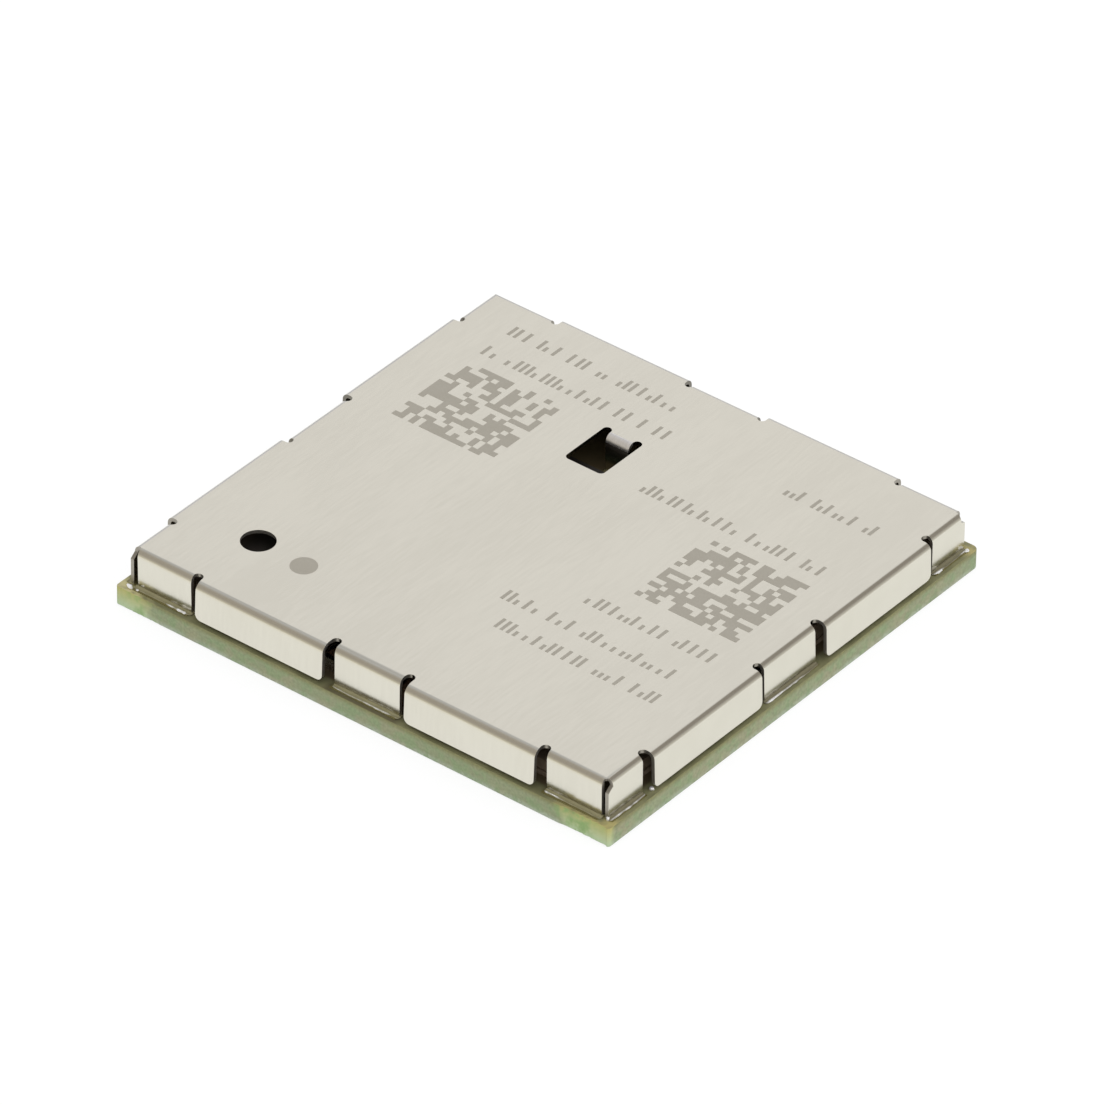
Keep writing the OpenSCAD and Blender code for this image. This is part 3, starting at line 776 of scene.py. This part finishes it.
def notchPoints(slitR, edge, middle, reach):
    opening = 90.0 if reach >= slitR else math.degrees(math.acos((slitR - reach) / slitR))
    points = arc((edge + slitR - reach, middle), slitR, 180 + opening, 180 - opening, can["tipSteps"])
    if reach > slitR:
        points = [(edge, middle - slitR)] + points + [(edge, middle + slitR)]
    return points


def cutLid(bm):
    corners = [bm.verts.new(sidePoint(side[0], side[1], -side[2], topZ)) for side in canSides]
    flaps = []
    for index, (turn, edge, half, shape) in enumerate(canSides):
        slitR = shape["slit"] / 2
        cornerReach, centreReach = shape["reach"]
        reaches = (cornerReach, centreReach, centreReach, cornerReach)
        startWiden, endWiden = (partial(cornerGrowth, *grow) for grow in shape["grow"])
        before = [partial(slitFlare, slitR, reach, -shape["lag"]) for reach in reaches]
        after = [partial(slitFlare, slitR, reach, shape["lag"]) for reach in reaches]
        ends = flapEnds(half, shape)
        chain = [corners[index]]
        for place, (middle, reach) in enumerate(zip(slitMiddles(half, shape), reaches)):
            points = notchPoints(slitR, edge, middle - shape["lag"], reach)
            notch = [bm.verts.new(sidePoint(turn, u, v, topZ)) for u, v in points]
            both = (after[place - 1] if place else startWiden, before[place])
            flaps.append((turn, edge, shape, place, (chain[-1], notch[0]), ends[place], both))
            chain += notch
        chain.append(corners[(index + 1) % 4])
        flaps.append((turn, edge, shape, 4, (chain[-2], chain[-1]), ends[4], (after[3], endWiden)))
        for pair in zip(chain, chain[1:]):
            bm.edges.new(pair)
    return flaps


def cutWindow(bm):
    left, right = can["windowLeft"], can["windowRight"]
    front, back = can["windowFront"], can["windowBack"]
    corner = can["windowCorner"]
    slotR = (right - left - can["finger"]) / 4
    points = arc((left + corner, front + corner), corner, 180, 270, can["cornerSteps"])
    points += arc((right - corner, front + corner), corner, 270, 360, can["cornerSteps"])
    points += arc((right - slotR, back - slotR), slotR, 0, 180, can["tipSteps"])
    rootAt = len(points)
    points += [(right - 2 * slotR, back - can["fingerRoot"]), (left + 2 * slotR, back - can["fingerRoot"])]
    points += arc((left + slotR, back - slotR), slotR, 0, 180, can["tipSteps"])
    loop = [bm.verts.new((x, y, topZ)) for x, y in points]
    for pair in zip(loop, loop[1:] + loop[:1]):
        bm.edges.new(pair)
    return loop, (loop[rootAt + 1], loop[rootAt])


def foldCan():
    bm = bmesh.new()
    flaps = cutLid(bm)
    window, fingerRoot = cutWindow(bm)
    hole = Matrix.Translation((*can["holeAt"], topZ))
    bmesh.ops.create_circle(bm, segments=64, radius=can["hole"] / 2, matrix=hole)
    bmesh.ops.triangle_fill(bm, edges=bm.edges[:], use_beauty=True, normal=(0, 0, 1))
    for face in {face for vert in window for face in vert.link_faces}:
        face.material_index = can["windowSlot"]
    longFoot = boardHigh.z + can["longFoot"]
    solderedFoot = boardHigh.z + can["solderedFoot"]
    feet = []
    for turn, edge, shape, place, root, span, widen in flaps:
        isLong = place in (1, 3)
        if isLong:
            bend = (can["setBack"], longFoot, can["longSplay"])
        else:
            bend = (0.0, solderedFoot, shape["splay"][place == 2])
        ring, foot = foldFlap(bm, root, turn, edge, span, widen, *bend, shape["crease"][place])
        if isLong:
            feet += foot
        end = place // 4
        further = shape["run"][end] - shape["grow"][end][0]
        if shape["run"][end] and place in (0, 4) and further > 0:
            fresh = vertsOf(bmesh.ops.extrude_edge_only(bm, edges=[bm.edges.get((ring[end], foot[end]))]))
            bmesh.ops.translate(bm, vec=sidePoint(turn, 0, further if end else -further, 0), verts=fresh)
            max(fresh, key=lambda vert: vert.co.z).co.z -= shape["fall"][end]
    bmesh.ops.bevel(bm, geom=feet, affect="VERTICES", offset=can["footCorner"], offset_type="ABSOLUTE",
                    segments=7, profile=0.5, material=-1)
    fingerSpan = (fingerRoot[0].co.x, fingerRoot[1].co.x)
    straight = partial(cornerGrowth, 0.0, 1, 0.0)
    others = set(bm.faces)
    foldFlap(bm, fingerRoot, math.pi * 1.5, -fingerRoot[0].co.y, fingerSpan, (straight, straight), 0.0,
             solderedFoot)
    for face in set(bm.faces) - others:
        if face.calc_center_median().z > topZ - can["bend"]:
            face.material_index = can["paleBendSlot"]
    atBack = [vert for vert in bm.verts if vert.co.y > lidY - can["slit"] / 2]
    bmesh.ops.translate(bm, vec=(0, can["backOut"], 0), verts=atBack)
    weld(bm)
    bmesh.ops.recalc_face_normals(bm, faces=bm.faces[:])
    if sum(face.normal.z * face.calc_area() for face in bm.faces) < 0:
        bmesh.ops.reverse_faces(bm, faces=bm.faces[:])
    finishes = (sheetMetal, cutMetal, paleBendMetal, cutMetal, sheetMetal, darkWindowEdge)
    piece = makePiece(bm, "folded_can", finishes, ("shield_can",))
    addModifier(piece, "SOLIDIFY", thickness=can["sheet"], offset=-1.0, use_even_offset=True,
                use_quality_normals=True, material_offset_rim=1)
    softenEdges(piece, can["softEdge"], can["sharp"], harden_normals=True)
    addModifier(piece, "WEIGHTED_NORMAL", keep_sharp=True)


foldCan()
print("shield can folded")


def etchCells(bm, corner, across, up, cell, keep):
    # A block of square or oblong cells with the unwanted ones taken out, in the same order on every run
    made = bmesh.ops.create_grid(bm, x_segments=across, y_segments=up, size=0.5)["verts"]
    waste = []
    for face in dict.fromkeys(face for vert in made for face in vert.link_faces):
        middle = face.calc_center_median()
        column = int((middle.x + 0.5) * across)
        row = int((middle.y + 0.5) * up)
        if not keep(column, row):
            waste.append(face)
    size = Matrix.Diagonal((across * cell[0], up * cell[1], 1, 1))
    place = Matrix.Translation((corner[0] + across * cell[0] / 2, corner[1] + up * cell[1] / 2, topZ))
    bmesh.ops.transform(bm, matrix=place @ size, verts=made)
    bmesh.ops.delete(bm, geom=waste, context="FACES")


def etchLid():
    draw = random.Random(marks["seed"])
    bm = bmesh.new()
    dot = Matrix.Translation((*marks["dotAt"], topZ))
    bmesh.ops.create_circle(bm, segments=48, radius=marks["dot"] / 2, matrix=dot, cap_ends=True)
    for (x, y), across, up in marks["fields"]:
        cells = [[draw.random() < marks["cellShare"] for _ in range(across)] for _ in range(up)]
        etchCells(bm, (x * mm, y * mm), across, up, (marks["cell"], marks["cell"]),
                  lambda c, r: cells[r][c])
    for x, y, length in marks["rows"]:
        across = round(length * mm / marks["tick"])
        kept = {}
        column = 0
        while column < across:
            kept[column] = draw.random() < marks["tallShare"]
            column += draw.choice(marks["tickSteps"])
        etchCells(bm, (x * mm, y * mm), across, 2, (marks["tick"], marks["tickTall"] / 2),
                  lambda c, r: c in kept and (r == 0 or kept[c]))
    bmesh.ops.dissolve_limit(bm, angle_limit=marks["flatness"], verts=bm.verts[:], edges=bm.edges[:])
    raised = vertsOf(bmesh.ops.extrude_face_region(bm, geom=bm.faces[:]))
    bmesh.ops.translate(bm, vec=(0, 0, marks["film"]), verts=raised)
    bmesh.ops.recalc_face_normals(bm, faces=bm.faces[:])
    piece = makePiece(bm, "lid_marks", (etchedMetal,))
    piece.data.shade_flat()


etchLid()
print("lid marked")


# Board: cut from its panel, with a ragged scar at each end of the front edge
blank = {
    "corner": 0.28 * mm,
    "frontCorner": 0.14 * mm,  # cut closer
    "scar": 2.1 * mm,
    "scarDeep": (0.008 * mm, 0.045 * mm),  # at the left end and the right
    "ragged": (0.03 * mm, 0.05 * mm),
    "step": 0.06 * mm,
    "leadSteps": 4,
    "layers": 10,
    # Waves in each mm along and up, and the layer of noise, of where a scar ends and of its chips
    "wander": (2.2, 3.0, 1.0),
    "wanderBy": 1.5,
    "chips": (6.0, 5.0, 8.0),
    "scarRise": 6,  # how steeply a scar starts, for each mm
    "slack": 0.001 * mm,
    "softEdge": 0.02 * mm,
    "softAngle": math.radians(60),
    "sharp": math.radians(40),
}


def cutBoard():
    size = boardHigh - boardLow
    bm = bmesh.new()
    place = Matrix.Translation((boardLow + boardHigh) / 2) @ Matrix.Diagonal((*size, 1))
    bmesh.ops.create_cube(bm, size=1, matrix=place)
    upright = [edge for edge in bm.edges if abs(edge.verts[0].co.z - edge.verts[1].co.z) > size.z / 2]
    atFront = [edge for edge in upright if edge.verts[0].co.y < 0]
    atBack = [edge for edge in upright if edge not in atFront]
    for edges, offset in ((atBack, blank["corner"]), (atFront, blank["frontCorner"])):
        bmesh.ops.bevel(bm, geom=edges, affect="EDGES", offset=offset, segments=8, profile=0.5, material=-1)
    # Slices that give the scars points to move
    startX = boardHigh.x - blank["scar"] - blank["leadSteps"] * blank["step"]
    count = int((boardHigh.x - blank["corner"] - startX) / blank["step"])
    cuts = [(Vector((side * (startX + k * blank["step"]), 0, 0)), Vector((1, 0, 0)))
            for side in (-1, 1) for k in range(count + 1)]
    cuts += [(Vector((0, 0, boardLow.z + size.z * k / blank["layers"])), Vector((0, 0, 1)))
             for k in range(1, blank["layers"])]
    for point, normal in cuts:
        everything = bm.verts[:] + bm.edges[:] + bm.faces[:]
        bmesh.ops.bisect_plane(bm, geom=everything, plane_co=point, plane_no=normal)

    def unevenness(x, z, wavesX, wavesZ, layer):
        return noise.noise((x / mm * wavesX, z / mm * wavesZ, layer))

    for vert in bm.verts:
        x, y, z = vert.co
        if y > boardLow.y + blank["slack"] or abs(x) < startX:
            continue
        wander = unevenness(x, z, *blank["wander"])
        chips = max(0.0, unevenness(x, z, *blank["chips"]))
        into = (abs(x) - (boardHigh.x - blank["scar"])) / mm * blank["scarRise"] + wander * blank["wanderBy"]
        end = int(x > 0)
        vert.co.y += min(1.0, max(0.0, into)) * (blank["scarDeep"][end] + blank["ragged"][end] * chips)
    bmesh.ops.recalc_face_normals(bm, faces=bm.faces[:])
    piece = makePiece(bm, "board_blank", (laminate,), ("board",))
    piece.data.set_sharp_from_angle(angle=blank["sharp"])
    softenEdges(piece, blank["softEdge"], blank["softAngle"])


cutBoard()
print("board cut")

# Solder: a low film up the foot of each soldered flap, ending in a thin uneven ridge of bare tin
joint = {
    "height": 0.05 * mm,
    "width": 0.12 * mm,
    "ridge": 0.032 * mm,
    "gap": 0.03 * mm,
    "endRound": 0.12 * mm,
    "past": 0.05 * mm,
    "step": 0.03 * mm,
    "hollowSteps": 6,
    "ridgeSteps": 8,
    "ridgeTurn": 0.9,  # of half a turn
    "ridgeRise": 1.3,
    "floorRise": 0.6,  # of the film's foot, for the ridge's size
    "thinEnd": 0.3,  # what is left of the width and ridge at a joint's end
    # Waves in each mm and the layer of noise, of sway, ripple and patches, and how far they change a joint
    "waves": ((0.9, 0.0), (3.5, 5.0), (4.0, 9.0)),
    "heightSway": 0.35,
    "widthSway": 0.30,
    "widthRipple": 0.12,
    "ridgeRipple": 0.6,
    "ridgeBare": (0.6, 0.5),  # share of the ridge that is always there, and what bare tin adds
    "bareness": (0.8, 0.9),  # how bare a stretch is, and how far patches change it
    "seedStep": 3.7,
    # Bare stretches along the right, back, left and front: start and end in mm, and how bare
    "bareRuns": (
        ((-10.55, -9.0, 0.65), (-9.0, -8.6, 0.5), (-1.55, -0.5, 0.9), (-0.5, 0.6, 0.5), (8.6, 9.0, 1.0),
         (10.25, 10.6, 0.9)),
        ((-9.6, -8.6, 0.9), (-0.4, 1.3, 0.7), (9.2, 10.6, 0.8)),
        ((-10.3, -9.5, 0.9), (-1.2, 0.2, 0.7), (8.8, 9.6, 0.8)),
        ((-9.2, -8.4, 0.9), (-1.5, 0.0, 0.3), (0.0, 1.2, 0.6), (8.3, 9.1, 0.9)),
    ),
    "bareRest": 0.05,
    "fade": 0.3 * mm,
    # Lumps where the solder gathered, all bare tin that shows as painted white glints: place and half sizes
    # in mm
    "lumps": (
        (11.24, -8.17, 0.89, 0.10, 0.09, 0.08),
        (11.27, 8.78, 0.88, 0.05, 0.20, 0.05),
        (11.26, 10.50, 0.88, 0.08, 0.11, 0.04),
        (-11.00, -10.77, 0.90, 0.15, 0.09, 0.085),
        (-10.65, -10.75, 0.88, 0.06, 0.06, 0.05),
        (-8.62, -10.75, 0.88, 0.14, 0.06, 0.06),
        (-8.43, -10.74, 0.88, 0.09, 0.06, 0.05),
        (11.10, -10.56, 0.90, 0.07, 0.07, 0.10),
    ),
    "dents": 0.5,
    "dentWaves": 8,
    "sharp": math.radians(50),
}


def jointSection(height, width, ridge):
    # Clockwise from the inner side of the foot, up the flap's face, down the film and over the ridge
    sheet = can["sheet"]
    points = [(-sheet, 0.0, 0.0), (-sheet, joint["gap"], 0.0), (0.0, joint["gap"] + height, 0.0)]
    hollow = width - ridge
    floor = ridge * joint["floorRise"]
    for k in range(1, joint["hollowSteps"]):
        share = k / joint["hollowSteps"]
        points.append((hollow * share, floor + (joint["gap"] + height - floor) * (1 - share) ** 2, 0.0))
    for k in range(joint["ridgeSteps"] + 1):
        angle = math.pi * joint["ridgeTurn"] * (1 - k / joint["ridgeSteps"])
        points.append((width + ridge * math.cos(angle), ridge * joint["ridgeRise"] * math.sin(angle), 1.0))
    points.append((-sheet, 0.0, 0.0))
    return points


def bareShare(runs, along):
    # Each bare stretch fades over a short way at its ends
    share = joint["bareRest"]
    for start, end, most in runs:
        inside = min(along - start * mm, end * mm - along)
        share = max(share, most * min(1.0, 0.5 + inside / joint["fade"]))
    return share


def layJoint(bm, turn, face, start, end, runs, seed):
    bare = bm.verts.layers.float["bare"]
    ridgeRest, ridgeMore = joint["ridgeBare"]
    bareness, patchiness = joint["bareness"]
    start -= joint["past"]
    end += joint["past"]
    columns = round((end - start) / joint["step"])
    rows = len(jointSection(1, 1, 0)) - 1
    made = bmesh.ops.create_grid(bm, x_segments=columns, y_segments=rows, size=0.5)["verts"]
    for vert in made:
        along = start + (end - start) * (vert.co.x + 0.5)
        fromEnd = min(along - start, end - along)
        plump = math.sqrt(max(0.0, 1 - max(0.0, 1 - fromEnd / joint["endRound"]) ** 2))
        sway, ripple, patch = (noise.noise((along / mm * waves, seed, layer))
                               for waves, layer in joint["waves"])
        full = joint["thinEnd"] + (1 - joint["thinEnd"]) * plump
        height = joint["height"] * plump * (1 + joint["heightSway"] * sway)
        width = joint["width"] * full * (1 + joint["widthSway"] * sway + joint["widthRipple"] * ripple)
        share = bareShare(runs, along)
        ridge = joint["ridge"] * full * (ridgeRest + ridgeMore * share) * (1 + joint["ridgeRipple"] * ripple)
        out, z, onRidge = jointSection(height, width, ridge)[round((vert.co.y + 0.5) * rows)]
        vert.co = sidePoint(turn, face + out, along, padHigh.z + z)
        vert[bare] = onRidge * min(1.0, max(0.0, share * (bareness + patchiness * patch)))


def solderJoints():
    bm = bmesh.new()
    bare = bm.verts.layers.float.new("bare")
    seed = 0
    for (turn, edge, half, shape), runs in zip(canSides, joint["bareRuns"]):
        leftEnd, _, centre, _, rightEnd = flapEnds(half, shape)
        atCorner, atCentre = (edge + shape["out"] + can["bend"] + splay for splay in shape["splay"])
        first, last = (half + max(run, grow[0]) for run, grow in zip(shape["run"], shape["grow"]))
        spans = ((atCorner, -first, leftEnd[1]), (atCentre, *centre), (atCorner, rightEnd[0], last))
        for face, start, end in spans:
            layJoint(bm, turn, face, start, end, runs, seed * joint["seedStep"])
            seed += 1
    fingerFace = can["bend"] + can["fingerRoot"] - can["windowBack"]
    fingerLeft = (can["windowLeft"] + can["windowRight"] - can["finger"]) / 2
    layJoint(bm, math.pi * 1.5, fingerFace, fingerLeft, fingerLeft + can["finger"], (),
             seed * joint["seedStep"])
    weld(bm)
    bmesh.ops.holes_fill(bm, edges=bm.edges[:], sides=0)
    for x, y, z, halfX, halfY, halfZ in joint["lumps"]:
        middle = Vector((x, y, z)) * mm
        lump = Matrix.Translation(middle) @ Matrix.Diagonal((halfX * mm, halfY * mm, halfZ * mm, 1))
        for vert in bmesh.ops.create_icosphere(bm, subdivisions=3, radius=1, matrix=lump)["verts"]:
            dented = 1 + joint["dents"] * noise.noise(vert.co / mm * joint["dentWaves"])
            vert.co = middle + (vert.co - middle) * dented
            vert[bare] = 1.0
    bmesh.ops.recalc_face_normals(bm, faces=bm.faces[:])
    piece = makePiece(bm, "solder_beads", (solder,), ("shield_solder",))
    piece.data.set_sharp_from_angle(angle=joint["sharp"])


solderJoints()
print("solder laid")


# Finishes of the nodes
nodeFinish = {
    "board": laminate,
    "shield_can": sheetMetal,
    "shield_solder": solder,
    "shield_pads": stained,
    "signal_lands": gold,
    "ground_lands": gold,
    "duplexers": ceramic,
    "receive_filters": ceramic,
    "reference_oscillator": ceramic,
    "sleep_crystal": ceramic,
    "buck_inductors": ferrite,
    "matching_inductors": ferrite,
    "bulk_capacitors": capacitorBody,
    "decoupling_capacitors": capacitorBody,
    "chip_resistors": glaze,
}
capLength = {
    "buck_inductors": 0.45 * mm,
    "bulk_capacitors": 0.35 * mm,
    "decoupling_capacitors": 0.22 * mm,
    "matching_inductors": 0.13 * mm,
    "chip_resistors": 0.13 * mm,
}
chip = {
    "substrate": 0.20 * mm,
    "metalLid": 0.08 * mm,
    "slack": 0.01 * mm,
}


def separateBodies(bm):
    # Faces that hang together by their edges make one body
    waiting = set(bm.faces)
    while waiting:
        body = [waiting.pop()]
        for face in body:
            near = {other for edge in face.edges for other in edge.link_faces} & waiting
            waiting -= near
            body += sorted(near, key=lambda item: item.index)
        yield body


def isCap(length, middle, low, high):
    axis = 0 if high.x - low.x > high.y - low.y else 1
    fromEnd = min(middle[axis] - low[axis], high[axis] - middle[axis])
    return fromEnd < length + chip["slack"]


def isSubstrate(middle, low, high):
    return middle.z < low.z + chip["substrate"] + chip["slack"]


def isMetalLid(middle, low, high):
    return middle.z > high.z - chip["metalLid"] + chip["slack"]


def dressNode(node, first, second=None, isSecond=None):
    mesh = node.data
    mesh.materials.clear()
    mesh.materials.append(first)
    if not second:
        return
    mesh.materials.append(second)
    bm = bmesh.new()
    bm.from_mesh(mesh)
    was = bm.faces.layers.int.new("was")
    for face in bm.faces:
        face[was] = face.index
    weld(bm)
    bm.faces.index_update()
    for body in separateBodies(bm):
        points = [vert.co for face in body for vert in face.verts]
        low = Vector(map(min, zip(*points)))
        high = Vector(map(max, zip(*points)))
        for face in body:
            if isSecond(face.calc_center_median(), low, high):
                mesh.polygons[face[was]].material_index = 1
    bm.free()


for name, node in nodes.items():
    finish = nodeFinish.get(name, mould)
    if name in capLength:
        dressNode(node, finish, tinned, partial(isCap, capLength[name]))
    elif finish is ceramic:
        dressNode(node, finish, tinned, isMetalLid)
    elif finish is mould:
        dressNode(node, finish, substrate, isSubstrate)
    else:
        dressNode(node, finish)
print("finishes given out")
